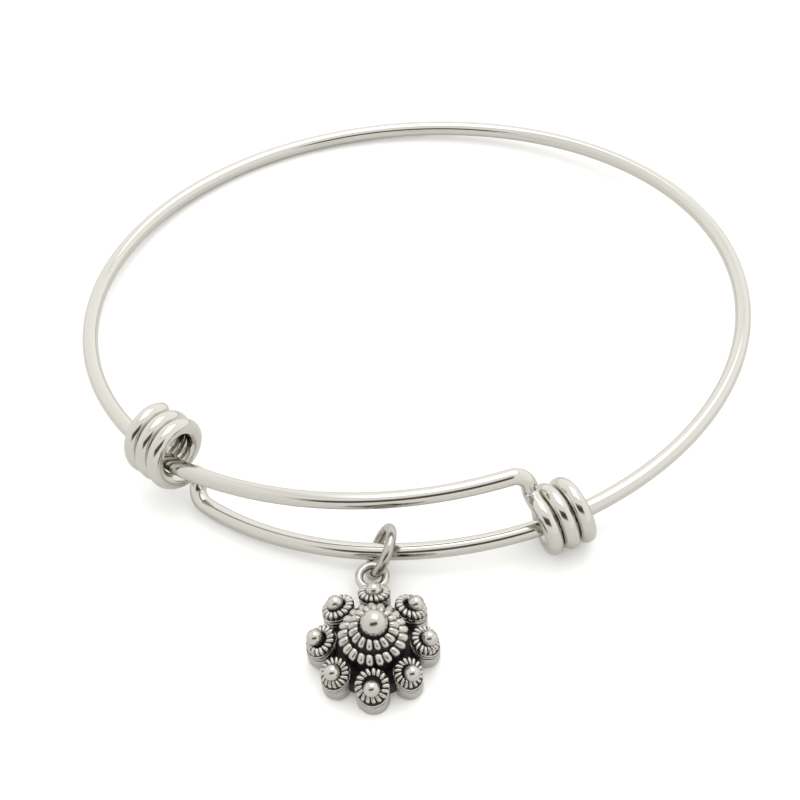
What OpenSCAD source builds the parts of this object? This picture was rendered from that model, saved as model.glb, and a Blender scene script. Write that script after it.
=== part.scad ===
// Expandable charm bangle: one springy round wire, coiled round itself at both ends of its
// overlap, with a button charm hung from the lower rail on a jump ring.
// Lengths are millimetres. The bangle lies on the plane z = 0, with the charm in front of it.

/* [Wire] */
// Diameter of the round wire
wire_d = 1.5; // [1.2:0.1:1.6]

/* [Hoop] */
// Width of the hoop over the wire
hoop_w = 64.5; // [54:0.5:78]
// Depth of the hoop over the wire, front to back
hoop_depth = 59; // [49:0.5:71]
// Height of the lower rail under the hoop's middle plane, at the right coil
lower_drop = 2.45; // [2.2:0.05:3]
// Lift of the lower rail's left end
lower_lift = 0.43; // [0.3:0.05:0.8]
// Height of the upper rail over the hoop's middle plane, at the left coil
upper_rise = 2.2; // [1.8:0.1:2.8]
// Further rise of the upper rail on its way to the right
upper_gain = 0.5; // [0:0.1:1.2]
// Distance by which the left end of the lower rail stands inside the hoop's line
lower_tuck = 0.45; // [0.2:0.05:0.8]
// Distance by which the right end of the upper rail stands inside the hoop's line
upper_tuck = 2; // [1.6:0.1:2.4]

/* [Coils] */
// Middle of the left coil, as an angle round the hoop
left_coil_angle = -138.4; // [-145:0.1:-135]
// Middle of the right coil, as an angle round the hoop
right_coil_angle = -64.5; // [-68:0.1:-58]
// Space between the wire and the bore of each coil, all round
coil_clearance = 0.9; // [0.85:0.05:1.2]
// Gap between one turn of a coil and the next
turn_gap = 0.05; // [0.05:0.01:0.2]
// Turns of each coil
coil_turns = 2.65; // [2.2:0.05:3.6]

/* [Jump ring] */
// Outer diameter of the jump ring
jump_d = 5.2; // [5.1:0.05:5.6]
// Diameter of the jump ring's wire
jump_wire_d = 0.9; // [0.7:0.05:0.95]

/* [Charm] */
// Diameter of the charm over its lobes
charm_d = 11; // [9:0.1:13]
// Diameter of each lobe
lobe_d = 2.4; // [2.2:0.1:2.8]
// Number of lobes
lobes = 8; // [6:1:8]
// Height of the ball on the boss over the charm's back
boss_h = 5.45; // [5:0.05:6.2]
// Diameter of the ball on the boss
boss_ball_d = 2.25; // [2.1:0.05:2.6]
// Diameter of the ball on each lobe
lobe_ball_d = 1.4; // [1.2:0.1:1.6]
// Outer diameter of the charm's loop
loop_d = 2.98; // [2.9:0.02:3.4]
// Diameter of the loop's wire
loop_wire_d = 0.7; // [0.5:0.05:0.7]

/* [Hidden] */

wire_r = wire_d / 2;
half_w = hoop_w / 2 - wire_r;
half_depth = hoop_depth / 2 - wire_r;
coil_pitch = wire_d + turn_gap;
coil_length = coil_turns * coil_pitch;

// Turn of the oval round its middle, and how far the hoop bulges off a true oval
hoop_turn = 1.5;
hoop_egg = 0.15;

// How far each coil stands off the wire in its bore, outward and upward
left_coil_shift = [-0.8, 0.53];
right_coil_shift = [-0.2, 0.5];
// Angle round the wire at which each coil begins, 0 outward and 90 upward
left_join = -94.8;
right_join = 90;
// Straight run from the right coil's beginning to the corner of its riser
elbow_run = 1.35;
// Foot of the left riser from the coil's face, along the hoop, and the riser's top from its
// foot: along the hoop, inward and up
left_foot_off = 1.03;
left_top_off = [-0.29, 1.015, 1.206];
// Pull of the curve between the left coil and its riser, at the coil and at the riser
left_pull = [2.06, 1.87];
// Bend radii of the wire's middle line at the right coil and at the end of a rail
elbow_r = 0.95;
left_corner_r = 1.6;
right_corner_r = 1.5;
// What the left coil has over the right one in radius
left_coil_more = 0.12;
// Length of rail that a bend takes, in bend radii
bend_take = 1.35;
// How a rail draws in along its length
lower_draw = 4;
lower_bow = 6;
upper_draw = 1.8;

// Sides of the swept wire and the steps of its parts
wire_sides = 12;
coil_steps = 42;
hoop_steps = 56;
rail_steps = 14;
bend_steps = 6;

// Back foot of the resting hoop, and the place of the jump ring, as angles round the hoop
back_foot = 125;
jump_angle = -96.05;
// Distance of the rail from the middle of the jump ring, as a share of the ring's slack
jump_off = 0.81;
// Height of the jump ring over the surface, and the lean of its axis
floor_gap = 0.025;
jump_polar = 116;
jump_turn = -7.5;
// Middle of the charm's loop from the jump ring's wire, in shares of that wire's slack in the
// loop, with the turn and tip of the charm
loop_off = [-0.5, -0.55];
charm_turn = -0.8;
charm_tip = 4.7;

jump_wire_r = jump_wire_d / 2;
jump_r = jump_d / 2 - jump_wire_r;
lobe_r = lobe_d / 2;
lobe_at = charm_d / 2 - lobe_r;
lobe_lean = 27.5;
lobe_top = 2.6;
lobe_ring_tube = 0.36;
lobe_ball_up = 0.35;
lobe_seat_r = 0.5;
base_h = 1.3;
// Lap of the base under the lobes, and of the loop on its lobe
base_lap = 0.1;
loop_lap = 0.04;
boss_r = 2.35;
outer_ring_drop = 1.8;
outer_ring_tube = 0.46;
inner_ring_r = 1.56;
inner_ring_drop = 0.93;
inner_ring_tube = 0.42;
loop_r = (loop_d - loop_wire_d) / 2;
loop_at = charm_d / 2 + loop_d / 2 - loop_lap;
loop_h = 0.75;
loop_angle = 92.9;
neck_l = 1;
neck_at = lobe_at + 0.5;
neck_r = loop_wire_d / 2 - 0.03;

function unit(v) = v / norm(v);

// Middle line of the hoop seen from above, an oval sprung a little out of true; angles run
// anticlockwise from the right
function hoop_reach(phi) =
    let (a = phi + hoop_turn)
    1 / sqrt(pow(cos(a) / half_w, 2) + pow(sin(a) / half_depth, 2)) + hoop_egg * sin(3 * a);
function on_hoop(phi, outward, z) =
    let (reach = hoop_reach(phi) + outward)
    [reach * cos(phi), reach * sin(phi), z];
function along_hoop(phi) = unit(on_hoop(phi + 1, 0, 0) - on_hoop(phi - 1, 0, 0));
function outward_at(phi) =
    let (t = along_hoop(phi))
    [t.y, -t.x, 0];
function arc_angle(length) = length / half_w * 180 / PI;

// Left and right coils; side is -1 for the left one and 1 for the right one
function coil_angle(side) = side < 0 ? left_coil_angle : right_coil_angle;
function coil_shift(side) = side < 0 ? left_coil_shift : right_coil_shift;
function coil_join(side) = side < 0 ? left_join : right_join;
function coil_r(side) = wire_d + coil_clearance + (side < 0 ? left_coil_more : 0);
function held_height(side) = side < 0 ? upper_rise : -lower_drop;
function coil_centre(side) =
    on_hoop(coil_angle(side), 0, held_height(side) + coil_shift(side)[1])
    + coil_shift(side)[0] * outward_at(coil_angle(side));
function coil_point(side, share) =
    let (phase = coil_join(side) - side * 360 * coil_turns * share)
    let (along = side * (share - 0.5) * coil_length)
    coil_centre(side) + along * along_hoop(coil_angle(side))
    + coil_r(side) * (cos(phase) * outward_at(coil_angle(side)) + [0, 0, sin(phase)]);
right_entry = sin(right_join) * outward_at(right_coil_angle) - [0, 0, cos(right_join)];
right_elbow = coil_point(1, 0) - elbow_run * right_entry;
left_end = left_coil_angle + arc_angle(coil_length / 2 + left_foot_off);
right_end = atan2(right_elbow.y, right_elbow.x);

// Rails between the coils; the share runs from the face of the coil a rail comes out of, to
// the riser at its far end
function coil_face(side) = coil_angle(side) - side * arc_angle(coil_length / 2 + wire_r);
function rail_share(phi, side) =
    max(0, (coil_face(side) - phi) / (coil_face(side) - (side < 0 ? right_end : left_end)));
function lower_rail(phi) =
    let (share = rail_share(phi, 1))
    on_hoop(phi, -lower_tuck * pow(share, lower_draw),
            -lower_drop + lower_lift * pow(share, lower_bow));
function upper_rail(phi) =
    let (share = rail_share(phi, -1))
    on_hoop(phi, -upper_tuck * (1 - pow(max(1 - share, 0), upper_draw)),
            upper_rise + upper_gain * share);
function hoop_height(phi) =
    let (share = (phi - right_coil_angle) / (left_coil_angle + 360 - right_coil_angle))
    -lower_drop + (upper_rise + lower_drop) * share;

// Points of a bend of the given radius at a corner between two other points
function bend(before, corner, after, radius) =
    let (u = unit(before - corner), v = unit(after - corner), half = acos(u * v) / 2)
    let (centre = corner + unit(u + v) * radius / sin(half))
    let (x = unit(corner + u * radius / tan(half) - centre))
    let (y = unit(cross(cross(x, corner - centre), x)), sweep = 180 - 2 * half)
    [for (i = [0:bend_steps])
        let (a = sweep * i / bend_steps)
        centre + radius * (cos(a) * x + sin(a) * y)];

// Points of a smooth curve from one point and heading to another
function swing(from, leave, to, arrive) =
    [for (i = [1:bend_steps])
        let (t = i / bend_steps)
        (1 + 2 * t) * pow(1 - t, 2) * from + t * pow(1 - t, 2) * leave
        + (3 - 2 * t) * t * t * to - (1 - t) * t * t * arrive];

left_corner = lower_rail(left_end);
left_top = left_corner + left_top_off[0] * along_hoop(left_coil_angle)
    - left_top_off[1] * outward_at(left_coil_angle) + [0, 0, left_top_off[2]];
left_leave = left_pull[0] * unit(coil_point(-1, 0) - coil_point(-1, 0.002));
left_arrive = left_pull[1] * unit(left_corner - left_top);
right_corner = upper_rail(right_end);
lower_start = left_end + arc_angle(bend_take * left_corner_r);
upper_end = right_end - arc_angle(bend_take * right_corner_r);

hoop_sweep = left_coil_angle + 360 - right_coil_angle;
wire_path = concat(
    [for (i = [coil_steps:-1:0]) coil_point(-1, i / coil_steps)],
    swing(coil_point(-1, 0), left_leave, left_top, left_arrive),
    bend(left_top, left_corner, lower_rail(lower_start), left_corner_r),
    [for (i = [0:rail_steps - 1])
        lower_rail(lower_start + (right_coil_angle - lower_start) * i / rail_steps)],
    [for (i = [0:hoop_steps - 1])
        let (phi = right_coil_angle + hoop_sweep * i / hoop_steps)
        on_hoop(phi, 0, hoop_height(phi))],
    [for (i = [0:rail_steps])
        upper_rail(left_coil_angle + (upper_end - left_coil_angle) * i / rail_steps)],
    bend(upper_rail(upper_end), right_corner, right_elbow, right_corner_r),
    bend(right_corner, right_elbow, coil_point(1, 0), elbow_r),
    [for (i = [0:coil_steps]) coil_point(1, i / coil_steps)]
);

// The bangle rests on the right coil, on the left end of the lower rail and on its back
foot_right = coil_point(1, 0.5 / coil_turns);
foot_left = lower_rail(lower_start);
foot_back = on_hoop(back_foot, 0, hoop_height(back_foot));
rest_up = unit(cross(foot_back - foot_right, foot_left - foot_right));
rest_back = unit([0, 1, 0] - rest_up.y * rest_up);
rest_right = cross(rest_back, rest_up);
rest_lift = wire_r - min([for (p = wire_path) p * rest_up]);
function rest(p) = [p * rest_right, p * rest_back, p * rest_up + rest_lift];

// The jump ring stands on the surface and leans over the rail
jump_rail = rest(lower_rail(jump_angle));
jump_slack = jump_r - jump_wire_r - wire_r;
jump_height = jump_wire_r + jump_r * sin(jump_polar) + floor_gap;
jump_over = (jump_height - jump_rail.z) / sin(jump_polar);
jump_before = sqrt(max(0, pow(jump_off * jump_slack, 2) - pow(jump_over, 2)));
jump_at = [jump_rail.x, jump_rail.y - jump_before, jump_height];

// The charm lies where its loop takes the jump ring's wire, at the level of the loop
function turned(v, a) = [v.x * cos(a) - v.y * sin(a), v.x * sin(a) + v.y * cos(a)];
loop_reach = loop_at * sin(loop_angle);
loop_level = (charm_d / 2 + loop_reach) * sin(charm_tip) + loop_h * cos(charm_tip);
loop_drop = (jump_at.z - loop_level) / sin(jump_polar);
jump_run = sqrt(pow(jump_r, 2) - pow(loop_drop, 2));
loop_slack = loop_r - loop_wire_d / 2 - jump_wire_r;
loop_from_ring = turned([loop_drop * cos(jump_polar), -jump_run], jump_turn)
    + loop_slack * loop_off;
loop_from_charm = turned(
    [loop_at * cos(loop_angle), loop_reach * cos(charm_tip) - loop_h * sin(charm_tip)], charm_turn);
charm_at = [
    jump_at.x + loop_from_ring.x - loop_from_charm.x,
    jump_at.y + loop_from_ring.y - loop_from_charm.y,
    charm_d / 2 * sin(charm_tip)
];

// Round tube along a list of points, its ring of sides carried along without twist
module swept_wire(path, radius, sides) {
    last = len(path) - 1;
    dirs = [for (i = [0:last]) unit(path[min(i + 1, last)] - path[max(i - 1, 0)])];
    square_to = function(v, d) unit(v - (v * d) * d);
    rings = [
        for (i = 0, n = square_to([0, 0, 1], dirs[0]); i <= last;
             i = i + 1, n = i <= last ? square_to(n, dirs[i]) : n)
            [for (k = [0:sides - 1])
                let (a = 360 * k / sides)
                path[i] + radius * (cos(a) * n + sin(a) * cross(dirs[i], n))]
    ];
    points = [for (ring = rings) each ring];
    walls = [
        for (i = [0:last - 1], k = [0:sides - 1])
            let (a = i * sides + k, b = i * sides + (k + 1) % sides)
            each [[a, a + sides, b + sides], [a, b + sides, b]]
    ];
    first_end = [for (k = [0:sides - 1]) k];
    last_end = [for (k = [sides - 1:-1:0]) last * sides + k];
    polyhedron(points, concat([first_end], walls, [last_end]));
}

module torus(mean_r, tube_r) {
    rotate_extrude($fn = 48)
        translate([mean_r, 0])
            circle(r = tube_r, $fn = 16);
}

module bangle_wire() {
    color("silver")
        swept_wire([for (p = wire_path) rest(p)], wire_r, wire_sides);
}

module jump_ring() {
    color("gray")
        translate(jump_at)
            rotate([0, jump_polar, jump_turn])
                torus(jump_r, jump_wire_r);
}

// One lobe: a drum cut off at a slant, with a ring and a ball on the slant
module lobe() {
    difference() {
        cylinder(h = lobe_top + lobe_r, r = lobe_r, $fn = 48);
        translate([0, 0, lobe_top])
            rotate([0, lobe_lean, 0])
                translate([-2 * lobe_r, -2 * lobe_r, 0])
                    cube([4 * lobe_r, 4 * lobe_r, 4 * lobe_r]);
    }
    translate([0, 0, lobe_top])
        rotate([0, lobe_lean, 0]) {
            torus(lobe_r - lobe_ring_tube, lobe_ring_tube);
            translate([0, 0, -lobe_seat_r])
                cylinder(h = lobe_ball_up + lobe_seat_r, r = lobe_seat_r, $fn = 32);
            translate([0, 0, lobe_ball_up])
                sphere(d = lobe_ball_d, $fn = 32);
        }
}

module charm() {
    color("dimgray")
        translate(charm_at)
            rotate([0, 0, charm_turn])
                rotate([charm_tip, 0, 0])
                    charm_body();
}

module charm_body() {
    cylinder(h = base_h, r = lobe_at + base_lap, $fn = 64);
    cylinder(h = boss_h - outer_ring_drop, r = boss_r, $fn = 64);
    cylinder(h = boss_h - inner_ring_drop, r = inner_ring_r, $fn = 64);
    translate([0, 0, boss_h - outer_ring_drop])
        torus(boss_r, outer_ring_tube);
    translate([0, 0, boss_h - inner_ring_drop])
        torus(inner_ring_r, inner_ring_tube);
    translate([0, 0, boss_h])
        sphere(d = boss_ball_d, $fn = 48);
    for (i = [0:lobes - 1])
        rotate([0, 0, 90 + i * 360 / lobes])
            translate([lobe_at, 0, 0])
                lobe();
    rotate([0, 0, loop_angle]) {
        translate([loop_at, 0, loop_h])
            torus(loop_r, loop_wire_d / 2);
        translate([neck_at, 0, loop_h])
            rotate([0, 90, 0])
                cylinder(h = neck_l, r = neck_r, $fn = 24);
    }
}

bangle_wire();
jump_ring();
charm();
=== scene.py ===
import math
import random

import bpy
import numpy as np
from mathutils import Matrix, Vector


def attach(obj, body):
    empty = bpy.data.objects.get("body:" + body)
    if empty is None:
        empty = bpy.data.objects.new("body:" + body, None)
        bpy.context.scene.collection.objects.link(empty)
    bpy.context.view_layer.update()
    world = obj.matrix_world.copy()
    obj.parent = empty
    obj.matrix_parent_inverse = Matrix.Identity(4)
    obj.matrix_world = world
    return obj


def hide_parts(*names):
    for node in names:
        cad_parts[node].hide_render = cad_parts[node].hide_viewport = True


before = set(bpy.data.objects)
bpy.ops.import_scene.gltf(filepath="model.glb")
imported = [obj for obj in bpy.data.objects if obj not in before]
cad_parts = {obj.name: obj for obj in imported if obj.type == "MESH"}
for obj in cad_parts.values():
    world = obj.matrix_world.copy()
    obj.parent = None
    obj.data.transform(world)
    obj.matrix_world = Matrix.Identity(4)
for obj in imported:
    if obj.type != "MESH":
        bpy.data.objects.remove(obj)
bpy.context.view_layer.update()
MM = 0.001
UP = np.array([0.0, 0.0, 1.0])

# Sizes of the bangle's wire, in millimetres and degrees. -1 is the left side, 1 is the right.
HOOP_W, HOOP_DEPTH, WIRE_D = 64.5, 59.0, 1.5
WIRE_R = WIRE_D / 2
HALF_W, HALF_DEPTH = HOOP_W / 2 - WIRE_R, HOOP_DEPTH / 2 - WIRE_R
# The oval's turn, and how far it is off a true oval
HOOP_TURN, HOOP_EGG = 1.5, 0.15
# Each rail's height off the hoop's middle plane, and what it gains towards its free end
LOWER_DROP, LOWER_LIFT = 2.45, 0.43
UPPER_RISE, UPPER_GAIN = 2.2, 0.5
# How far each rail is drawn in at its free end, and the powers of the curves that draw it in
# (DRAW) and lift it (BOW)
LOWER_TUCK, UPPER_TUCK = 0.45, 2.0
LOWER_DRAW, LOWER_BOW, UPPER_DRAW = 4, 6, 1.8
# Each coil's place round the hoop, its shift outward and up, the turn at which its wire comes in,
# and the play between the coil and the rail in it
COIL_ANGLE = {-1: -138.4, 1: -64.5}
COIL_SHIFT = {-1: (-0.8, 0.53), 1: (-0.2, 0.5)}
COIL_JOIN = {-1: -94.8, 1: 90.0}
COIL_PLAY = {-1: 1.02, 1: 0.9}
COIL_R = {side: WIRE_D + play for side, play in COIL_PLAY.items()}
COIL_TURNS, COIL_GAP = 2.65, 0.05
COIL_LENGTH = COIL_TURNS * (WIRE_D + COIL_GAP)
# The bends between the rails and the coils, and the rail that a corner takes up, in its radii
ELBOW_RUN, ELBOW_R = 1.35, 0.95
LEFT_CORNER_R, RIGHT_CORNER_R = 1.6, 1.5
BEND_TAKE = 1.35
# The left riser: how far its foot is past the coil, where its top is off the foot (along, inward,
# up), and the pull of the curve at the coil and at the riser
LEFT_FOOT_OFF = 1.03
LEFT_TOP_OFF = (-0.29, 1.015, 1.206)
LEFT_PULL = (2.06, 1.87)
# Where the back of the hoop rests on the floor
BACK_FOOT = 125.0
# Points along a coil, the hoop, a rail and a bend: few to find how the wire rests, many to show
# it, and none nearer than this to the one before
REST_STEPS, SHOWN_STEPS = (42, 56, 14, 6), (240, 420, 110, 20)
LEAST_STEP = 0.02
# The rounded rim of the wire's cut ends
END_RUN, END_ROUND = 0.12, 0.1
# Sides of each round wire, points along the small ones, and segments of each turned body
WIRE_SIDES, JUMP_SIDES, LOOP_SIDES, NECK_SIDES = 28, 24, 22, 20
JUMP_STEPS, LOOP_STEPS, NECK_STEPS = 150, 96, 12
BASE_SEGMENTS, CORE_SEGMENTS, DRUM_SEGMENTS, FOOT_SEGMENTS = 96, 72, 56, 32

# Sizes of the jump ring
JUMP_D, JUMP_WIRE_D = 5.2, 0.9
JUMP_WIRE_R = JUMP_WIRE_D / 2
JUMP_R = JUMP_D / 2 - JUMP_WIRE_R
# Its place along the lower rail, its share of the slack there, and its height off the floor
JUMP_ANGLE, JUMP_OFF, FLOOR_GAP = -96.05, 0.81, 0.025
# How far it is tipped up off the floor, and then turned about the vertical
JUMP_POLAR, JUMP_TURN = 116.0, -7.5
# The cut through it, at the back, with the two ends pushed together: its place in degrees round
# the ring, half its opening, and how much smaller the wire's radius is at the cut
JUMP_CUT, JUMP_CUT_GAP, JUMP_CUT_RIM = 118, 0.8, 0.05

# Sizes of the charm, which lies on its lower edge
CHARM_D, LOBES = 11.0, 8
CHARM_TURN, CHARM_TIP = -0.8, 4.7
BASE_R, BASE_H = 4.0, 1.3
BASE_LOW_BEVEL, BASE_TOP_BEVEL = 0.12, 0.15
BOSS_H, BOSS_R, BOSS_BALL_R = 5.45, 2.35, 1.13
OUTER_RING_DROP, INNER_RING_DROP, INNER_RING_R = 1.83, 0.93, 1.55
# How far the boss leans off the charm's axis, at each ring and at the ball, and how it bulges
OUTER_RING_OFF, INNER_RING_OFF, BALL_OFF = (0.03, -0.18), (0.12, -0.04), (0.2, -0.12)
CORE_BULGE = (-0.03, -0.09)
LOBE_LEAN, LOBE_TOP = 27.5, 2.6
LOBE_BALL_R, LOBE_BALL_UP = 0.7, 0.33
LOBE_RING_IN = 0.31
# The foot under a lobe's ball, as rows of radius and height
BALL_FOOT = ((0.62, -0.3), (0.62, 0.1), (0.5, 0.3), (0, 0.35))
# Each lobe, from the loop's lobe round to the left: its radius, its distance from the middle, the
# turn off its even place, and the same distance and turn for its ball
LOBE_SHAPES = (
    (1.31, 4.24, 0.5, 4.24, 0.9),
    (1.36, 4.18, 1.0, 4.38, 0.9),
    (1.30, 4.32, 2.5, 4.66, 0.4),
    (1.22, 4.32, 0.6, 4.44, -0.3),
    (1.38, 4.26, 0.0, 4.56, -0.3),
    (1.19, 4.26, -2.2, 4.50, -0.8),
    (1.22, 4.24, -3.0, 4.46, -1.9),
    (1.34, 4.20, -1.6, 4.50, -3.4),
)
# The hand-made waviness of a lobe's wall and of its seam: waves round, start of each lobe, size
WALL_WAVES = ((3, 1.7, 0.012), (7, 2.3, 0.008))
SEAM_WAVES = ((4, 2.1, 0.08), (9, 1.0, 0.045))
SEAM_DROP, SEAM_WIDTH = 0.8, 0.35
# The beaded rings: how many beads, their length and height, how far they tip outward, their
# slant, and the share of a bead by which the first is turned
OUTER_BEADS = {"beads": 21, "length": 1.1, "height": 0.95, "tip": 24, "slant": 0.1, "phase": 0.5}
INNER_BEADS = {"beads": 17, "length": 1.04, "height": 0.88, "tip": 24, "slant": 0.1, "phase": 0.25}
LOBE_BEADS = {"beads": 17, "length": 0.76, "height": 0.76, "tip": 12, "slant": 0.2}
OUTER_BEADS_R, INNER_BEADS_R = BOSS_R - 0.02, INNER_RING_R + 0.03
LOBE_PHASE = 0.3
# Seeds of the random draws: the outer ring's, the inner ring's and the first lobe's
OUTER_SEED, INNER_SEED, LOBE_SEED = 3, 5, 10
# How boxy a bead is along, across and up: 1 is a ball
BEAD_FULLNESS = np.array([0.62, 0.84, 0.88])
# How much beads overlap, and how much a bead widens towards the outside of its ring
BEAD_OVERLAP, BEAD_FLARE = 1.02, 0.4
# How one bead differs from the next: its turn in degrees, and its share of each other measure
BEAD_TURN = (-0.8, 0.8)
BEAD_LENGTH, BEAD_WIDTH, BEAD_HEIGHT, BEAD_SLANT = (0.95, 1.04), (0.95, 1.02), (0.95, 1.04), (0.7, 1.3)
# The loop, the share of its slack that the jump ring takes, and the neck that joins it to a lobe
LOOP_D, LOOP_WIRE_D, LOOP_H, LOOP_ANGLE = 2.98, 0.7, 0.75, 92.9
LOOP_SUNK = 0.04
LOOP_AT = CHARM_D / 2 + LOOP_D / 2 - LOOP_SUNK
LOOP_OFF = (-0.5, -0.55)
NECK_FROM, NECK_RUN, NECK_WIRE_D = 4.9, 1.0, 0.64
LOOP_TARNISH, NECK_TARNISH = 0.55, 0.45

# The light tent: its brightness, and how that grows towards the right and the back
TENT_LIGHT, TENT_LEAN = 1.22, (0.08, 0.16, 0.0)
FLOOR_SIZE = (3, 3)
# The softbox overhead, in metres
SOFTBOX_AT, SOFTBOX_SIZE, SOFTBOX_FADE, SOFTBOX_LIGHT = (0.1, 0.25, 0.6), (0.8, 0.88), 0.2, 2.35
# The dark opening round the camera, in millimetres across and up from it, and its turn in degrees
CARD_AT, CARD_SIZE, CARD_FADE, CARD_ROLL = (-12.0, -28.0), (206.0, 102.0), 30.0, 12.0
CARD_COLOR, BLACK = (0.075, 0.057, 0.045, 1), (0, 0, 0, 1)
# The camera, which looks down at about 49 degrees
CAMERA_AT = Vector((3.616, -115.732, 120.277)) * MM
CAMERA_RIGHT = Vector((0.99925, 0.00372, -0.03848)).normalized()
CAMERA_BACK = CAMERA_RIGHT.cross(Vector((0.02262, 0.75081, 0.66013))).normalized()
CAMERA_UP = CAMERA_BACK.cross(CAMERA_RIGHT)
CAMERA_TURN = Matrix((CAMERA_RIGHT, CAMERA_UP, CAMERA_BACK)).transposed().to_4x4()
LENS, SENSOR, CLIP = 76.328, 36.0, (0.005, 10)


# Angles and vectors
def cosd(a):
    return math.cos(math.radians(a))


def sind(a):
    return math.sin(math.radians(a))


def unit(v):
    return v / np.linalg.norm(v)


def turned(x, y, angle):
    return np.array([x * cosd(angle) - y * sind(angle), x * sind(angle) + y * cosd(angle)])


def turn_about(axis, angle):
    return Matrix.Rotation(math.radians(angle), 4, axis)


def span(a, b, n, last=False):
    """Even steps from a to b, with b itself only if last is set."""
    return [a + (b - a) * i / n for i in range(n + 1 if last else n)]


# The wire's middle line, in the hoop's own plane
def on_hoop(phi, outward, z):
    """The point of the oval at an angle, moved outward and up."""
    a = phi + HOOP_TURN
    reach = 1 / math.sqrt((cosd(a) / HALF_W) ** 2 + (sind(a) / HALF_DEPTH) ** 2)
    reach += HOOP_EGG * sind(3 * a) + outward
    return np.array([reach * cosd(phi), reach * sind(phi), z])


def along_hoop(phi):
    """The hoop's heading, taken from a degree before to a degree after."""
    return unit(on_hoop(phi + 1, 0, 0) - on_hoop(phi - 1, 0, 0))


def outward_at(phi):
    t = along_hoop(phi)
    return np.array([t[1], -t[0], 0.0])


def arc_angle(length):
    """The angle of an arc of this length, on a circle as wide as the hoop."""
    return math.degrees(length / HALF_W)


def coil_centre(side):
    """A coil is wound round the other end's rail: the left one round the upper rail."""
    held = UPPER_RISE if side < 0 else -LOWER_DROP
    shift = COIL_SHIFT[side]
    return on_hoop(COIL_ANGLE[side], 0, held + shift[1]) + shift[0] * outward_at(COIL_ANGLE[side])


def coil_point(side, share):
    """A point of a coil, at a share of its length from where its wire comes in."""
    phase = COIL_JOIN[side] - side * 360 * COIL_TURNS * share
    along = side * (share - 0.5) * COIL_LENGTH
    out = outward_at(COIL_ANGLE[side])
    return (coil_centre(side) + along * along_hoop(COIL_ANGLE[side])
            + COIL_R[side] * (cosd(phase) * out + sind(phase) * UP))


def right_elbow():
    """The corner at the end of the right riser, a short straight run before the coil starts."""
    heading = sind(COIL_JOIN[1]) * outward_at(COIL_ANGLE[1]) - cosd(COIL_JOIN[1]) * UP
    return coil_point(1, 0) - ELBOW_RUN * heading


RIGHT_ELBOW = right_elbow()
LEFT_END = COIL_ANGLE[-1] + arc_angle(COIL_LENGTH / 2 + LEFT_FOOT_OFF)
RIGHT_END = math.degrees(math.atan2(RIGHT_ELBOW[1], RIGHT_ELBOW[0]))
LOWER_START = LEFT_END + arc_angle(BEND_TAKE * LEFT_CORNER_R)
UPPER_END = RIGHT_END - arc_angle(BEND_TAKE * RIGHT_CORNER_R)


def rail_share(phi, side):
    """How far a rail has come from the face of the coil that holds it, 1 at its free end."""
    face = COIL_ANGLE[side] - side * arc_angle(COIL_LENGTH / 2 + WIRE_R)
    return max(0.0, (face - phi) / (face - (RIGHT_END if side < 0 else LEFT_END)))


def lower_rail(phi):
    """A point of the rail that runs from the left riser through the right coil."""
    share = rail_share(phi, 1)
    return on_hoop(phi, -LOWER_TUCK * share ** LOWER_DRAW, -LOWER_DROP + LOWER_LIFT * share ** LOWER_BOW)


def upper_rail(phi):
    """A point of the rail that runs from the left coil to the right riser."""
    share = rail_share(phi, -1)
    tuck = UPPER_TUCK * (1 - max(1 - share, 0.0) ** UPPER_DRAW)
    return on_hoop(phi, -tuck, UPPER_RISE + UPPER_GAIN * share)


def hoop_height(phi):
    """The hoop climbs evenly, round its back, from the lower rail to the upper one."""
    share = (phi - COIL_ANGLE[1]) / (COIL_ANGLE[-1] + 360 - COIL_ANGLE[1])
    return -LOWER_DROP + (UPPER_RISE + LOWER_DROP) * share


def bend(before, corner, after, radius, steps):
    """An arc in place of a corner."""
    u, v = unit(before - corner), unit(after - corner)
    half = math.acos(float(u @ v)) / 2
    centre = corner + unit(u + v) * radius / math.sin(half)
    x = unit(corner + u * radius / math.tan(half) - centre)
    y = unit(np.cross(np.cross(x, corner - centre), x))
    sweep = math.pi - 2 * half
    return [centre + radius * (math.cos(a) * x + math.sin(a) * y)
            for a in np.linspace(0, sweep, steps + 1)]


def swing(start, leave, end, arrive, steps):
    """A smooth curve from one point and heading to another."""
    t = np.arange(1, steps + 1)[:, None] / steps
    return list((1 + 2 * t) * (1 - t) ** 2 * start + t * (1 - t) ** 2 * leave
                + (3 - 2 * t) * t * t * end - (1 - t) * t * t * arrive)


def left_riser(bend_n):
    """From the left coil, in the heading of its wire, down to the lower rail."""
    start, corner = coil_point(-1, 0), lower_rail(LEFT_END)
    along, inward, up = LEFT_TOP_OFF
    top = corner + along * along_hoop(COIL_ANGLE[-1]) - inward * outward_at(COIL_ANGLE[-1]) + up * UP
    leave = LEFT_PULL[0] * unit(start - coil_point(-1, 0.002))
    arrive = LEFT_PULL[1] * unit(corner - top)
    curve = swing(start, leave, top, arrive, bend_n)
    return curve + bend(top, corner, lower_rail(LOWER_START), LEFT_CORNER_R, bend_n)


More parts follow.
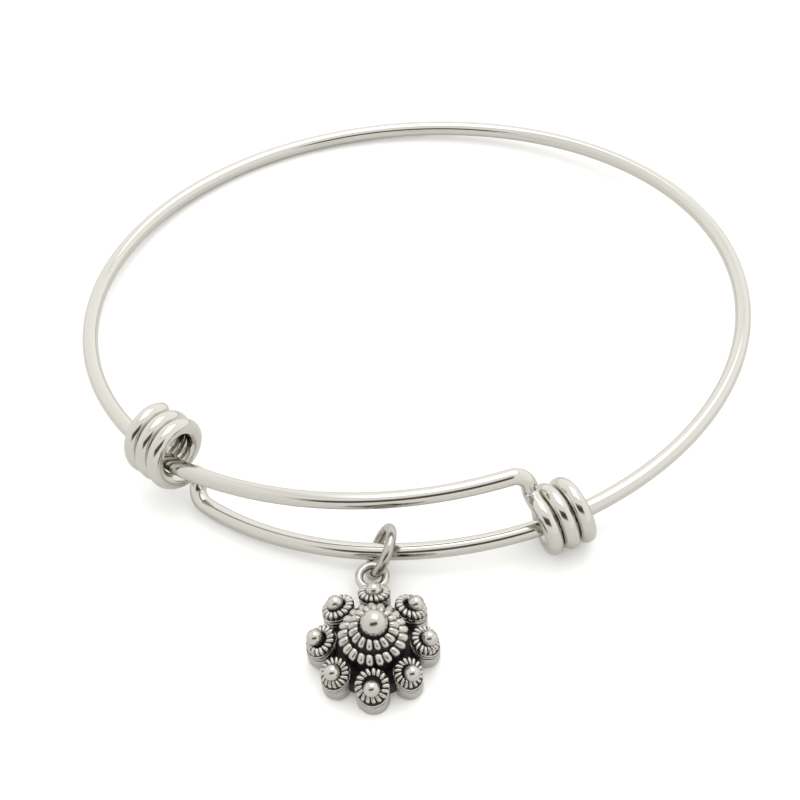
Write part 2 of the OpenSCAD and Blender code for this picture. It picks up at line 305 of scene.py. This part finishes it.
def wire_path(coil_n, hoop_n, rail_n, bend_n):
    """The whole wire, from the left coil's cut end to the right coil's."""
    corner = upper_rail(RIGHT_END)
    path = [coil_point(-1, s) for s in span(1, 0, coil_n, True)]
    path += left_riser(bend_n)
    path += [lower_rail(p) for p in span(LOWER_START, COIL_ANGLE[1], rail_n)]
    path += [on_hoop(p, 0, hoop_height(p)) for p in span(COIL_ANGLE[1], COIL_ANGLE[-1] + 360, hoop_n)]
    path += [upper_rail(p) for p in span(COIL_ANGLE[-1], UPPER_END, rail_n, True)]
    path += bend(upper_rail(UPPER_END), corner, RIGHT_ELBOW, RIGHT_CORNER_R, bend_n)
    path += bend(corner, RIGHT_ELBOW, coil_point(1, 0), ELBOW_R, bend_n)
    path += [coil_point(1, s) for s in span(0, 1, coil_n, True)]
    keep = [path[0]]
    for p in path[1:]:
        if np.linalg.norm(p - keep[-1]) > LEAST_STEP:
            keep.append(p)
    return np.array(keep)


def rest_frame():
    """The turn and lift that put the wire on its three feet: right coil, lower rail and back."""
    foot_right = coil_point(1, 0.5 / COIL_TURNS)
    foot_left = lower_rail(LOWER_START)
    foot_back = on_hoop(BACK_FOOT, 0, hoop_height(BACK_FOOT))
    up = unit(np.cross(foot_back - foot_right, foot_left - foot_right))
    back = unit(np.array([0.0, 1.0, 0.0]) - up[1] * up)
    right = np.cross(back, up)
    low = (wire_path(*REST_STEPS) @ up).min()
    return np.array([right, back, up]), WIRE_R - low


REST_TURN, REST_LIFT = rest_frame()


def rest(p):
    """Points of the hoop's own plane, moved to where the bangle lies."""
    return np.asarray(p) @ REST_TURN.T + np.array([0, 0, REST_LIFT])


# Where the jump ring and the charm lie
def jump_place():
    """The ring's middle: on the floor, and in front of the rail by its share of the slack."""
    rail = rest(lower_rail(JUMP_ANGLE))
    height = JUMP_WIRE_R + JUMP_R * sind(JUMP_POLAR) + FLOOR_GAP
    over = (height - rail[2]) / sind(JUMP_POLAR)
    before = math.sqrt((JUMP_OFF * (JUMP_R - JUMP_WIRE_R - WIRE_R)) ** 2 - over ** 2)
    return np.array([rail[0], rail[1] - before, height])


JUMP_AT = jump_place()


def charm_place():
    """The charm lies where its loop takes the jump ring's wire, at the level of the loop."""
    reach = LOOP_AT * sind(LOOP_ANGLE)
    level = (CHARM_D / 2 + reach) * sind(CHARM_TIP) + LOOP_H * cosd(CHARM_TIP)
    drop = (JUMP_AT[2] - level) / sind(JUMP_POLAR)
    slack = LOOP_D / 2 - LOOP_WIRE_D - JUMP_WIRE_R
    from_ring = turned(drop * cosd(JUMP_POLAR), -math.sqrt(JUMP_R ** 2 - drop ** 2), JUMP_TURN)
    loop_back = reach * cosd(CHARM_TIP) - LOOP_H * sind(CHARM_TIP)
    from_charm = turned(LOOP_AT * cosd(LOOP_ANGLE), loop_back, CHARM_TURN)
    x, y = JUMP_AT[:2] + (from_ring + slack * np.array(LOOP_OFF)) - from_charm
    lift = Matrix.Translation(Vector((x, y, CHARM_D / 2 * sind(CHARM_TIP))))
    return lift @ turn_about("Z", CHARM_TURN) @ turn_about("X", CHARM_TIP)


CHARM_PLACE = charm_place()


def lobe_places():
    """Each lobe's number and radius, the place of its drum, of its slanted top and of its ball."""
    up = Matrix.Translation((0, 0, LOBE_TOP)) @ turn_about("Y", LOBE_LEAN)
    for i, (radius, reach, off, ball_reach, ball_off) in enumerate(LOBE_SHAPES):
        places = []
        for far, turn in ((reach, off), (ball_reach, ball_off)):
            toward = turn_about("Z", 90 + i * 360 / LOBES + turn)
            places.append(CHARM_PLACE @ toward @ Matrix.Translation((far, 0, 0)))
        yield i, radius, places[0], places[0] @ up, places[1] @ up


# Mesh helpers
def tube(path, radius, sides, closed=False):
    """Rings of vertices and quads of a round tube along a path, without twist. The radius is one
    value, or one for each point."""
    n = len(path)
    if closed:
        dirs = np.roll(path, -1, 0) - np.roll(path, 1, 0)
    else:
        dirs = np.vstack([path[1:2] - path[0:1], path[2:] - path[:-2], path[-1:] - path[-2:-1]])
    dirs /= np.linalg.norm(dirs, axis=1)[:, None]
    radii = np.broadcast_to(radius, (n,))
    # the first side faces any way that isn't close to the path's own
    start = UP if abs(dirs[0][2]) < 0.9 else np.array([1.0, 0, 0])
    side = unit(start - (start @ dirs[0]) * dirs[0])
    a = np.linspace(0, 2 * math.pi, sides, endpoint=False)
    verts = []
    for i in range(n):
        side = unit(side - (side @ dirs[i]) * dirs[i])
        other = np.cross(dirs[i], side)
        verts.append(path[i] + radii[i] * (np.cos(a)[:, None] * side + np.sin(a)[:, None] * other))
    faces = []
    for i in range(n if closed else n - 1):
        j = (i + 1) % n
        for k in range(sides):
            m = (k + 1) % sides
            faces.append((i * sides + k, i * sides + m, j * sides + m, j * sides + k))
    if not closed:
        faces.append(tuple(range(sides - 1, -1, -1)))
        faces.append(tuple((n - 1) * sides + k for k in range(sides)))
    return np.vstack(verts), faces


def lathe(profile, segments, slant=0.0):
    """A turned body about +Z from (radius, height) rows. A third value in a row is the share of
    the slant that tips it."""
    verts, faces, rings = [], [], []
    for radius, z, *tip in profile:
        fall = (tip[0] if tip else 0.0) * slant
        if radius == 0:
            rings.append([len(verts)])
            verts.append((0.0, 0.0, z))
            continue
        rings.append(list(range(len(verts), len(verts) + segments)))
        for k in range(segments):
            a = 2 * math.pi * k / segments
            x, y = radius * math.cos(a), radius * math.sin(a)
            verts.append((x, y, z - fall * x))
    for low, high in zip(rings, rings[1:]):
        for k in range(segments):
            m = (k + 1) % segments
            if len(low) == 1:
                faces.append((low[0], high[m], high[k]))
            elif len(high) == 1:
                faces.append((low[k], low[m], high[0]))
            else:
                faces.append((low[k], low[m], high[m], high[k]))
    return np.array(verts), faces


def ball(radius, rows, segments):
    """A ball made in rows from its underside up to its top."""
    profile = []
    for i in range(rows + 1):
        a = math.pi * (i / rows - 0.5)
        profile.append((radius * math.cos(a) if 0 < i < rows else 0.0, radius * math.sin(a)))
    return lathe(profile, segments)


def placed(verts, matrix):
    """Vertices turned and moved by a matrix."""
    return verts @ np.array(matrix)[:3, :3].T + np.array(matrix)[:3, 3]


class Body:
    """Collects shells with a tarnish value at each vertex, then makes one object of them, with
    a hard edge wherever two faces meet at more than this many degrees."""

    HARD_EDGE = 40

    def __init__(self):
        self.verts, self.faces, self.tarnish, self.count = [], [], [], 0

    def add(self, verts, faces, tarnish=0.0):
        self.faces += [tuple(i + self.count for i in f) for f in faces]
        self.verts.append(np.asarray(verts, float))
        self.tarnish.append(np.broadcast_to(np.asarray(tarnish, float), (len(verts),)).copy())
        self.count += len(verts)

    def make(self, name, material, node):
        mesh = bpy.data.meshes.new(name)
        mesh.from_pydata((np.vstack(self.verts) * MM).tolist(), [], self.faces)
        tarnish = mesh.attributes.new("tarnish", "FLOAT", "POINT")
        tarnish.data.foreach_set("value", np.concatenate(self.tarnish).astype(np.float32))
        mesh.validate()
        mesh.update()
        obj = bpy.data.objects.new(name, mesh)
        bpy.context.scene.collection.objects.link(obj)
        mesh.shade_smooth()
        mesh.set_sharp_from_angle(angle=math.radians(self.HARD_EDGE))
        mesh.materials.append(material)
        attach(obj, "root")
        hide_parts(node)


# Shader helpers
FLOAT, COLOR = "NodeSocketFloat", "NodeSocketColor"


def feed(tree, node, values):
    """Each value goes to its socket: another node's output as a link, anything else as it is."""
    for key, value in values.items():
        if hasattr(value, "is_output"):
            tree.links.new(value, node.inputs[key])
        else:
            node.inputs[key].default_value = value


def put(tree, kind, values, **settings):
    node = tree.nodes.new(kind)
    for key, value in settings.items():
        setattr(node, key, value)
    feed(tree, node, values)
    return node


def maths(tree, operation, *values):
    return put(tree, "ShaderNodeMath", dict(enumerate(values)), operation=operation).outputs[0]


def blend(tree, factor, first, second):
    """Two colours mixed, through the colour sockets of a Mix node."""
    node = put(tree, "ShaderNodeMix", {"Factor": factor, 6: first, 7: second}, data_type="RGBA")
    return node.outputs[2]


def own_coordinates(tree):
    return put(tree, "ShaderNodeTexCoord", {}).outputs["Object"]


def noise(tree, values):
    return put(tree, "ShaderNodeTexNoise", {"Vector": own_coordinates(tree), **values}).outputs["Fac"]


def group(name, ins, outs):
    """A new shader group with these sockets, its given values and its output node."""
    tree = bpy.data.node_groups.new(name, "ShaderNodeTree")
    for label, kind, value in ins:
        socket = tree.interface.new_socket(label, in_out="INPUT", socket_type=kind)
        socket.default_value = value
    for label, kind in outs:
        tree.interface.new_socket(label, in_out="OUTPUT", socket_type=kind)
    return tree, tree.nodes.new("NodeGroupInput").outputs, tree.nodes.new("NodeGroupOutput")


def use(tree, group_tree, values):
    return put(tree, "ShaderNodeGroup", values, node_tree=group_tree).outputs


def new_material(name):
    material = bpy.data.materials.new(name)
    material.use_nodes = True
    return material, material.node_tree, material.node_tree.nodes["Principled BSDF"]


# Effects that several materials use
def metal_wear_group():
    """Fine drawing lines, faint clouding and hairline scratches of a polished metal surface."""
    ins = [("Base Color", COLOR, (0.8, 0.8, 0.8, 1)), ("Cloud Color", COLOR, (0.7, 0.7, 0.68, 1)),
           ("Roughness", FLOAT, 0.1), ("Cloud Size", FLOAT, 300.0), ("Cloud", FLOAT, 0.3),
           ("Scratch Size", FLOAT, 2500.0), ("Scratch", FLOAT, 0.3)]
    t, given, out = group("metal_wear", ins, [("Color", COLOR), ("Roughness", FLOAT), ("Height", FLOAT)])
    clouds = noise(t, {"Scale": given["Cloud Size"], "Detail": 3.0})
    lines = noise(t, {"Scale": given["Scratch Size"], "Detail": 4.0, "Roughness": 0.7, "Distortion": 0.6})
    cloud = maths(t, "MULTIPLY", clouds, given["Cloud"])
    scratch = maths(t, "MULTIPLY", lines, given["Scratch"])
    # how much rougher the metal is where it is clouded, and where it is scratched
    cloud_rough, scratch_rough = 0.1, 0.08
    clouded = maths(t, "MULTIPLY_ADD", cloud, cloud_rough, given["Roughness"])
    feed(t, out, {
        "Color": blend(t, cloud, given["Base Color"], given["Cloud Color"]),
        "Roughness": maths(t, "MULTIPLY_ADD", scratch, scratch_rough, clouded),
        "Height": scratch,
    })
    return t


def tarnish_group():
    """Dark oxide in the recesses, read from the mesh's tarnish and broken up at its edge."""
    ins = [("Metal Color", COLOR, (0.8, 0.8, 0.8, 1)), ("Oxide Color", COLOR, (0.01, 0.01, 0.01, 1)),
           ("Metal Roughness", FLOAT, 0.15), ("Oxide Roughness", FLOAT, 0.5),
           ("Edge", FLOAT, 0.5), ("Break Up", FLOAT, 0.3), ("Grain Size", FLOAT, 4000.0)]
    t, given, out = group("recess_tarnish", ins, [("Color", COLOR), ("Roughness", FLOAT), ("Mask", FLOAT)])
    tarnish = put(t, "ShaderNodeAttribute", {}, attribute_name="tarnish").outputs["Fac"]
    grain = maths(t, "SUBTRACT", noise(t, {"Scale": given["Grain Size"], "Detail": 3.0}), 0.5)
    softness = 0.14
    mask = put(t, "ShaderNodeMapRange", {
        "Value": maths(t, "MULTIPLY_ADD", grain, given["Break Up"], tarnish),
        "From Min": maths(t, "SUBTRACT", given["Edge"], softness),
        "From Max": maths(t, "ADD", given["Edge"], softness),
    }, interpolation_type="SMOOTHSTEP").outputs[0]
    rough = put(t, "ShaderNodeMix", {"Factor": mask, 2: given["Metal Roughness"],
                                     3: given["Oxide Roughness"]}, data_type="FLOAT")
    feed(t, out, {
        "Color": blend(t, mask, given["Metal Color"], given["Oxide Color"]),
        "Roughness": rough.outputs[0],
        "Mask": mask,
    })
    return t


def soft_edge_group():
    """A mask that is 1 over the middle of a card and fades to 0 at its edges."""
    ins = [("Half Width", FLOAT, 0.5), ("Half Height", FLOAT, 0.5), ("Fade", FLOAT, 0.1)]
    t, given, out = group("soft_edge", ins, [("Mask", FLOAT)])
    place = put(t, "ShaderNodeSeparateXYZ", {0: own_coordinates(t)}).outputs
    shares = []
    for axis, half in (("X", given["Half Width"]), ("Y", given["Half Height"])):
        share = put(t, "ShaderNodeMapRange", {
            "Value": maths(t, "ABSOLUTE", place[axis]),
            "From Min": half,
            "From Max": maths(t, "SUBTRACT", half, given["Fade"]),
        }, interpolation_type="SMOOTHSTEP")
        shares.append(share.outputs[0])
    feed(t, out, {"Mask": maths(t, "MULTIPLY", *shares)})
    return t


METAL_WEAR, RECESS_TARNISH, SOFT_EDGE = metal_wear_group(), tarnish_group(), soft_edge_group()


# Materials of the pieces
def wire_material(name, color, cloud_color, roughness, cloud, bump):
    material, t, bsdf = new_material(name)
    wear = use(t, METAL_WEAR, {"Base Color": color, "Cloud Color": cloud_color, "Roughness": roughness,
                               "Cloud": cloud, "Cloud Size": 260.0, "Scratch Size": 2600.0, "Scratch": 0.5})
    hills = put(t, "ShaderNodeBump", {"Height": wear["Height"], "Strength": bump, "Distance": 0.00002})
    feed(t, bsdf, {
        "Base Color": wear["Color"],
        "Roughness": wear["Roughness"],
        "Normal": hills.outputs["Normal"],
        "Metallic": 1.0,
    })
    return material


def charm_material(name, roughness, edge, break_up, bump):
    material, t, bsdf = new_material(name)
    wear = use(t, METAL_WEAR, {"Base Color": (0.58, 0.56, 0.525, 1), "Cloud Color": (0.42, 0.4, 0.37, 1),
                               "Roughness": roughness, "Cloud": 0.5, "Cloud Size": 700.0,
                               "Scratch Size": 5200.0, "Scratch": 0.8})
    dark = use(t, RECESS_TARNISH, {"Metal Color": wear["Color"], "Oxide Color": (0.012, 0.011, 0.011, 1),
                                   "Metal Roughness": wear["Roughness"], "Oxide Roughness": 0.55,
                                   "Edge": edge, "Break Up": break_up, "Grain Size": 3800.0})
    metallic = put(t, "ShaderNodeMapRange", {"Value": dark["Mask"], "To Min": 1.0, "To Max": 0.15})
    hills = put(t, "ShaderNodeBump", {"Height": wear["Height"], "Strength": bump, "Distance": 0.00003})
    feed(t, bsdf, {
        "Base Color": dark["Color"],
        "Roughness": dark["Roughness"],
        "Metallic": metallic.outputs[0],
        "Normal": hills.outputs["Normal"],
    })
    return material


POLISHED_WIRE = wire_material("polished_wire", (0.595, 0.58, 0.54, 1), (0.565, 0.55, 0.505, 1),
                              roughness=0.06, cloud=0.5, bump=0.1)
RING_WIRE = wire_material("ring_wire", (0.52, 0.5, 0.47, 1), (0.36, 0.34, 0.31, 1),
                          roughness=0.12, cloud=0.8, bump=0.4)
CHARM_METAL = charm_material("antiqued_charm", roughness=0.17, edge=0.5, break_up=0.35, bump=0.5)
CHARM_BALLS = charm_material("charm_ball_metal", roughness=0.1, edge=0.6, break_up=0.2, bump=0.3)


# The pieces
def build_wire():
    path = rest(wire_path(*SHOWN_STEPS))
    radii = np.full(len(path), WIRE_R)
    run = np.concatenate([[0], np.cumsum(np.linalg.norm(np.diff(path, axis=0), axis=1))])
    for from_end in (run, run[-1] - run):
        near = from_end < END_RUN
        rounded = WIRE_R - END_ROUND * (1 - from_end[near] / END_RUN) ** 2
        radii[near] = np.minimum(radii[near], rounded)
    body = Body()
    body.add(*tube(path, radii, WIRE_SIDES))
    body.make("bangle_wire_tube", POLISHED_WIRE, "bangle_wire")


def circle(radius, angles):
    """Points of a flat circle, at these angles."""
    return np.stack([radius * np.cos(angles), radius * np.sin(angles), np.zeros(len(angles))], 1)


def build_jump_ring():
    place = Matrix.Translation(Vector(JUMP_AT)) @ turn_about("Z", JUMP_TURN) @ turn_about("Y", JUMP_POLAR)
    cut, gap = math.radians(JUMP_CUT), math.radians(JUMP_CUT_GAP)
    path = circle(JUMP_R, np.linspace(cut + gap, cut + 2 * math.pi - gap, JUMP_STEPS))
    radii = np.full(JUMP_STEPS, JUMP_WIRE_R)
    radii[[0, -1]] -= JUMP_CUT_RIM
    verts, faces = tube(path, radii, JUMP_SIDES)
    body = Body()
    body.add(placed(verts, place), faces)
    body.make("jump_ring_wire", RING_WIRE, "jump_ring")


def add_plate(body):
    """The round base that carries the lobes, dark except on its underside."""
    top = BASE_H - BASE_TOP_BEVEL
    profile = [(0, 0), (BASE_R - BASE_LOW_BEVEL, 0), (BASE_R, BASE_LOW_BEVEL), (BASE_R, top),
               (BASE_R - BASE_TOP_BEVEL, BASE_H), (0, BASE_H)]
    verts, faces = lathe(profile, BASE_SEGMENTS)
    body.add(placed(verts, CHARM_PLACE), faces, np.where(verts[:, 2] > BASE_LOW_BEVEL / 2, 1.0, 0.3))


def add_boss_core(body):
    """The dark stepped core under the two beaded rings, which leans as they do."""
    core, neck = BOSS_H - OUTER_RING_DROP, BOSS_H - INNER_RING_DROP
    # radius and height, with the edge of each step under the beads on it
    profile = [(0, 0.2), (BOSS_R + 0.25, 0.2), (BOSS_R + 0.15, core - 0.3), (BOSS_R - 0.2, core + 0.1),
               (INNER_RING_R + 0.2, neck - 0.35), (INNER_RING_R - 0.15, neck + 0.05),
               (0.8, neck + 0.15), (0, neck + 0.15)]
    verts, faces = lathe(profile, CORE_SEGMENTS)
    lean = np.clip(verts[:, 2] / neck, 0, 1)[:, None]
    verts[:, :2] += lean * np.array(INNER_RING_OFF) + np.sin(math.pi * lean) * np.array(CORE_BULGE)
    body.add(placed(verts, CHARM_PLACE), faces, 1.0)


def wavy(angles, i, waves):
    """The waves round lobe i, added up at these angles."""
    return sum(size * np.sin(count * angles + start * i) for count, start, size in waves)


def add_lobe_drum(body, i, radius, place):
    """A lobe's drum under its slanted top, with a wavy dark seam and a groove under the beads."""
    tan, t = math.tan(math.radians(LOBE_LEAN)), LOBE_TOP
    # radius, height, share of the slant, tarnish
    rows = [(0, 0, 0, 0.2), (radius - 0.14, 0, 0, 0.2), (radius - 0.04, 0.05, 0, 0), (radius, 0.18, 0, 0),
            (radius, t - 1.16, 0.7, 0.1), (radius - 0.04, t - 1.08, 0.73, 0.7),
            (radius - 0.09, t - 1.01, 0.77, 1), (radius - 0.03, t - 0.93, 0.8, 0.5),
            (radius + 0.02, t - 0.84, 0.9, 0), (radius + 0.01, t - 0.7, 1, 0.2),
            (radius - 0.08, t - 0.62, 1, 1), (radius - 0.08, t - 0.54, 1, 1),
            (radius + 0.01, t - 0.48, 1, 0.3), (radius + 0.01, t - 0.32, 1, 0.1),
            (radius - 0.06, t - 0.26, 1, 0.9), (radius - 0.2, t - 0.2, 1, 1),
            (0.3, t - 0.15, 1, 1), (0, t - 0.15, 1, 1)]
    verts, faces = lathe([row[:3] for row in rows], DRUM_SEGMENTS, tan)
    tarnish = np.concatenate([np.full(1 if row[0] == 0 else DRUM_SEGMENTS, row[3]) for row in rows])
    angles = np.arctan2(verts[:, 1], verts[:, 0])
    verts[:, :2] *= (1 + wavy(angles, i, WALL_WAVES))[:, None]
    seam = np.exp(-((verts[:, 2] + tan * verts[:, 0] - t + SEAM_DROP) / SEAM_WIDTH) ** 2)
    verts[:, 2] += seam * wavy(angles, i, SEAM_WAVES)
    body.add(placed(verts, place), faces, tarnish)


def build_charm_base():
    body = Body()
    add_plate(body)
    add_boss_core(body)
    for i, radius, drum, *_ in lobe_places():
        add_lobe_drum(body, i, radius, drum)
    body.make("charm_base", CHARM_METAL, "charm")


BEAD_VERTS, BEAD_FACES = ball(1.0, rows=16, segments=20)


def rope_bead(length, width, height, slant, flare):
    """One bead of a rope ring: a barrel across the ring, dark where it meets what is round it."""
    out = np.sign(BEAD_VERTS) * np.abs(BEAD_VERTS) ** BEAD_FULLNESS * np.array([length, width, height]) / 2
    out[:, 1] *= 1 + flare * out[:, 0]
    out[:, 1] += slant * out[:, 0]
    x, y, z = BEAD_VERTS.T
    # darker towards its foot, its sides and its two ends
    tarnish = np.clip(0.36 - 0.9 * z + 0.42 * np.abs(y) ** 5 + 0.25 * np.abs(x) ** 6, 0, 1)
    return out, tarnish


def rope_ring(body, place, radius, beads, length, height, tip, slant, phase, seed):
    """A ring of beads side by side, each a little other than the next, as hand work is."""
    rnd = random.Random(seed)
    width, flare = 2 * math.pi * radius / beads * BEAD_OVERLAP, BEAD_FLARE / radius
    for i in range(beads):
        turn = 360 * (i + phase) / beads + rnd.uniform(*BEAD_TURN)
        verts, tarnish = rope_bead(length * rnd.uniform(*BEAD_LENGTH), width * rnd.uniform(*BEAD_WIDTH),
                                   height * rnd.uniform(*BEAD_HEIGHT), slant * rnd.uniform(*BEAD_SLANT),
                                   flare)
        bead_at = place @ turn_about("Z", turn) @ Matrix.Translation((radius, 0, 0)) @ turn_about("Y", tip)
        body.add(placed(verts, bead_at), BEAD_FACES, tarnish)


def build_charm_ropes():
    body = Body()
    outer = CHARM_PLACE @ Matrix.Translation((*OUTER_RING_OFF, BOSS_H - OUTER_RING_DROP))
    rope_ring(body, outer, OUTER_BEADS_R, seed=OUTER_SEED, **OUTER_BEADS)
    inner = CHARM_PLACE @ Matrix.Translation((*INNER_RING_OFF, BOSS_H - INNER_RING_DROP))
    rope_ring(body, inner, INNER_BEADS_R, seed=INNER_SEED, **INNER_BEADS)
    for i, radius, _, top, _ in lobe_places():
        rope_ring(body, top, radius - LOBE_RING_IN, seed=LOBE_SEED + i, phase=LOBE_PHASE * i, **LOBE_BEADS)
    body.make("charm_ropes", CHARM_METAL, "charm")


def add_ball(body, place, radius, rows, segments, dark):
    """A ball that is bright on top and dark towards the foot on which it sits."""
    verts, faces = ball(radius, rows, segments)
    body.add(placed(verts, place), faces, np.clip(dark - verts[:, 2] / radius, 0, 1))


def build_charm_balls():
    body = Body()
    boss_top = CHARM_PLACE @ Matrix.Translation((*BALL_OFF, BOSS_H))
    add_ball(body, boss_top, BOSS_BALL_R, rows=44, segments=64, dark=0.3)
    foot, foot_faces = lathe(BALL_FOOT, FOOT_SEGMENTS)
    for *_, ball_top in lobe_places():
        raised = ball_top @ Matrix.Translation((0, 0, LOBE_BALL_UP))
        add_ball(body, raised, LOBE_BALL_R, rows=32, segments=44, dark=0.35)
        body.add(placed(foot, ball_top), foot_faces, 1.0)
    body.make("charm_balls", CHARM_BALLS, "charm")


def build_charm_loop():
    body = Body()
    radius = (LOOP_D - LOOP_WIRE_D) / 2
    toward = CHARM_PLACE @ turn_about("Z", LOOP_ANGLE)
    path = circle(radius, np.linspace(0, 2 * math.pi, LOOP_STEPS, endpoint=False))
    verts, faces = tube(path, LOOP_WIRE_D / 2, LOOP_SIDES, closed=True)
    # the wire's inner side is darker
    inside = np.clip((radius - 0.1 - np.hypot(verts[:, 0], verts[:, 1])) * 2.2, 0, LOOP_TARNISH)
    body.add(placed(verts, toward @ Matrix.Translation((LOOP_AT, 0, LOOP_H))), faces, inside)
    a = np.linspace(0, NECK_RUN, NECK_STEPS)
    path = np.stack([NECK_FROM + a, 0 * a, 0 * a + LOOP_H], 1)
    verts, faces = tube(path, NECK_WIRE_D / 2, NECK_SIDES)
    body.add(placed(verts, toward), faces, NECK_TARNISH)
    body.make("charm_loop", CHARM_METAL, "charm")


# Floor, light and camera
def card(name, centre, size, turn, material):
    """A flat card of the given width and height, facing its own +Z."""
    mesh = bpy.data.meshes.new(name)
    w, h = size[0] / 2, size[1] / 2
    mesh.from_pydata([(-w, -h, 0), (w, -h, 0), (w, h, 0), (-w, h, 0)], [], [(0, 1, 2, 3)])
    mesh.materials.append(material)
    obj = bpy.data.objects.new(name, mesh)
    obj.matrix_world = Matrix.Translation(Vector(centre)) @ turn
    bpy.context.scene.collection.objects.link(obj)
    return obj


def floor_material():
    """A pale paper floor, made darker in what the metal shows of it than it is to the camera."""
    material, t, bsdf = new_material("studio_floor")
    grain = noise(t, {"Scale": 9.0, "Detail": 2.0})
    paper = blend(t, grain, (0.935, 0.935, 0.925, 1), (0.955, 0.955, 0.945, 1))
    ray = put(t, "ShaderNodeLightPath", {}).outputs
    feed(t, bsdf, {
        "Base Color": blend(t, ray["Is Glossy Ray"], paper, (0.7, 0.695, 0.675, 1)),
        "Roughness": 0.7,
        "Specular IOR Level": 0.15,
        "Emission Color": (1.0, 1.0, 0.99, 1),
        "Emission Strength": 0.08,
    })
    return material


def soft_card_material(name, size, fade, color, glow):
    """A card that is solid over its middle and clear at its edges, and gives light if it glows."""
    material, t, bsdf = new_material(name)
    mask = use(t, SOFT_EDGE, {"Half Width": size[0] / 2, "Half Height": size[1] / 2, "Fade": fade})["Mask"]
    feed(t, bsdf, {
        "Base Color": color,
        "Roughness": 1.0,
        "Specular IOR Level": 0.0,
        "Emission Color": blend(t, mask, BLACK, (1, 1, 1, 1)),
        "Emission Strength": glow,
        "Alpha": mask,
    })
    return material


def build_softbox():
    """A flat light facing down, brightest over its middle."""
    material = soft_card_material("top_softbox", SOFTBOX_SIZE, SOFTBOX_FADE, BLACK, glow=SOFTBOX_LIGHT)
    box = card("top_softbox", SOFTBOX_AT, SOFTBOX_SIZE, turn_about("X", 180), material)
    box.visible_camera = False


def build_dark_card():
    """The dark front of the light tent, which the polished metal shows as a thin dark line."""
    centre = CAMERA_AT + (CARD_AT[0] * CAMERA_RIGHT + CARD_AT[1] * CAMERA_UP) * MM
    size = (CARD_SIZE[0] * MM, CARD_SIZE[1] * MM)
    material = soft_card_material("dark_opening", size, CARD_FADE * MM, CARD_COLOR, glow=0.0)
    dark = card("dark_card", centre, size, CAMERA_TURN @ turn_about("Z", CARD_ROLL), material)
    dark.visible_camera = False
    dark.visible_diffuse = False
    dark.visible_shadow = False


def build_world():
    """An even light tent, a little brighter at the back and on the right than at the front."""
    world = bpy.data.worlds.new("studio_tent")
    world.use_nodes = True
    t = world.node_tree
    direction = put(t, "ShaderNodeTexCoord", {}).outputs["Generated"]
    toward = put(t, "ShaderNodeVectorMath", {0: direction, 1: TENT_LEAN}, operation="DOT_PRODUCT")
    feed(t, t.nodes["Background"], {
        "Color": (1.0, 1.0, 0.985, 1),
        "Strength": maths(t, "ADD", toward.outputs["Value"], TENT_LIGHT),
    })
    bpy.context.scene.world = world


def build_camera():
    data = bpy.data.cameras.new("camera")
    data.sensor_width, data.lens = SENSOR, LENS
    data.clip_start, data.clip_end = CLIP
    obj = bpy.data.objects.new("camera", data)
    obj.matrix_world = Matrix.Translation(CAMERA_AT) @ CAMERA_TURN
    bpy.context.scene.collection.objects.link(obj)
    bpy.context.scene.camera = obj


build_wire()
build_jump_ring()
build_charm_base()
build_charm_ropes()
build_charm_balls()
build_charm_loop()

card("floor", (0, 0, 0), FLOOR_SIZE, Matrix.Identity(4), floor_material())
build_world()
build_softbox()
build_dark_card()
build_camera()
bpy.context.scene.view_settings.view_transform = "Standard"
